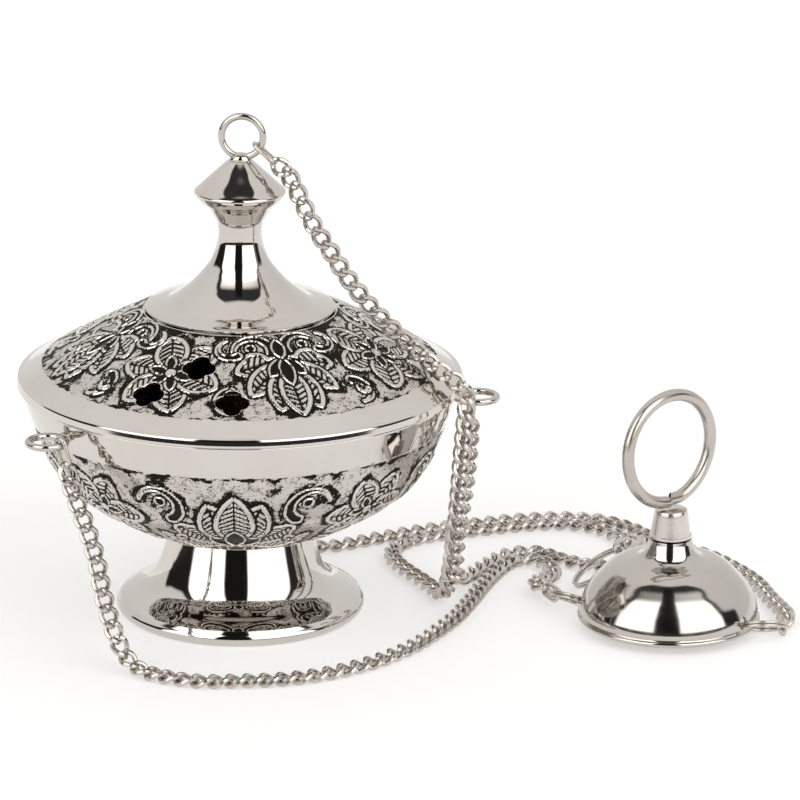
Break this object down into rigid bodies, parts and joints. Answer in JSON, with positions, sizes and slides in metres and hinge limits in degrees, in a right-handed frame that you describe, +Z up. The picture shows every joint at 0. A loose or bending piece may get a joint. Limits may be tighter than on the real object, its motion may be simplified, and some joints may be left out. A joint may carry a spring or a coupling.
{
  "type": "thurible censer",
  "caption": "Footed bowl with a pierced conical cover, spire and ring, hung on three curb chains from a domed hand cap with a finger ring, and a fourth chain that lifts the cover.",
  "frame": {"origin": "on the table, under the middle of the box that holds the censer and the hand cap without the chains", "axes": "+Z up along the censer's axis, +X from the censer towards the hand cap, -Y towards the viewer"},
  "size_m": [0.2102, 0.1389, 0.139],
  "materials": {
    "polished_nickel": "polished nickel plate on spun brass",
    "engraved_nickel": "nickel plate, chased ornament with dark patina in the hollows, plain polished rim",
    "satin_nickel": "satin brushed nickel",
    "chain_nickel": "tumbled nickel-plated wire",
    "brass": "plain brass, dull"
  },
  "bodies": {
    "censer": {"foot": "polished_nickel", "bowl": "engraved_nickel", "foot_bolt": "brass", "foot_washer": "brass", "foot_nut": "brass", "bowl_loop_front_left": "polished_nickel", "bowl_loop_right": "polished_nickel", "bowl_loop_rear": "polished_nickel", "front_left_chain_bowl_link": "chain_nickel", "right_chain_bowl_link": "chain_nickel", "rear_chain_bowl_link": "chain_nickel", "front_left_chain": "chain_nickel", "right_chain": "chain_nickel", "rear_chain": "chain_nickel", "lid_chain": "chain_nickel"},
    "cover": {"cover": "engraved_nickel", "cover_spigot": "brass", "spire": "polished_nickel", "spire_stud": "brass", "spire_washer": "brass", "spire_nut": "brass", "finial_ring": "polished_nickel", "lid_chain_top_link": "chain_nickel"},
    "coal_cup": {"coal_cup": "brass"},
    "hand_cap": {"hand_cap": "polished_nickel", "rivet_washer": "brass", "split_ring_left": "chain_nickel", "split_ring_right": "chain_nickel", "split_ring_rear": "chain_nickel", "pull_ring": "chain_nickel", "front_left_chain_cap_link": "chain_nickel", "right_chain_cap_link": "chain_nickel", "rear_chain_cap_link": "chain_nickel", "lid_chain_pull_link": "chain_nickel"},
    "handle": {"handle_collar": "satin_nickel", "handle_ring": "satin_nickel", "handle_rivet": "brass"}
  },
  "joints": [
    {"name": "cover_lift", "type": "slide", "parent": "censer", "child": "cover", "axis": [0, 0, 1], "range_m": [0, 0.045], "deforming": ["lid_chain"]},
    {"name": "coal_cup_lift", "type": "slide", "parent": "censer", "child": "coal_cup", "axis": [0, 0, 1], "range_m": [0, 0.012]},
    {"name": "hand_cap_lift", "type": "slide", "parent": "censer", "child": "hand_cap", "axis": [0, 0, 1], "range_m": [0, 0.04]},
    {"name": "handle_swivel", "type": "hinge", "parent": "hand_cap", "child": "handle", "pos_m": [0.07595, -0.01561, 0.0252], "axis": [0, 0, 1], "continuous": true}
  ]
}
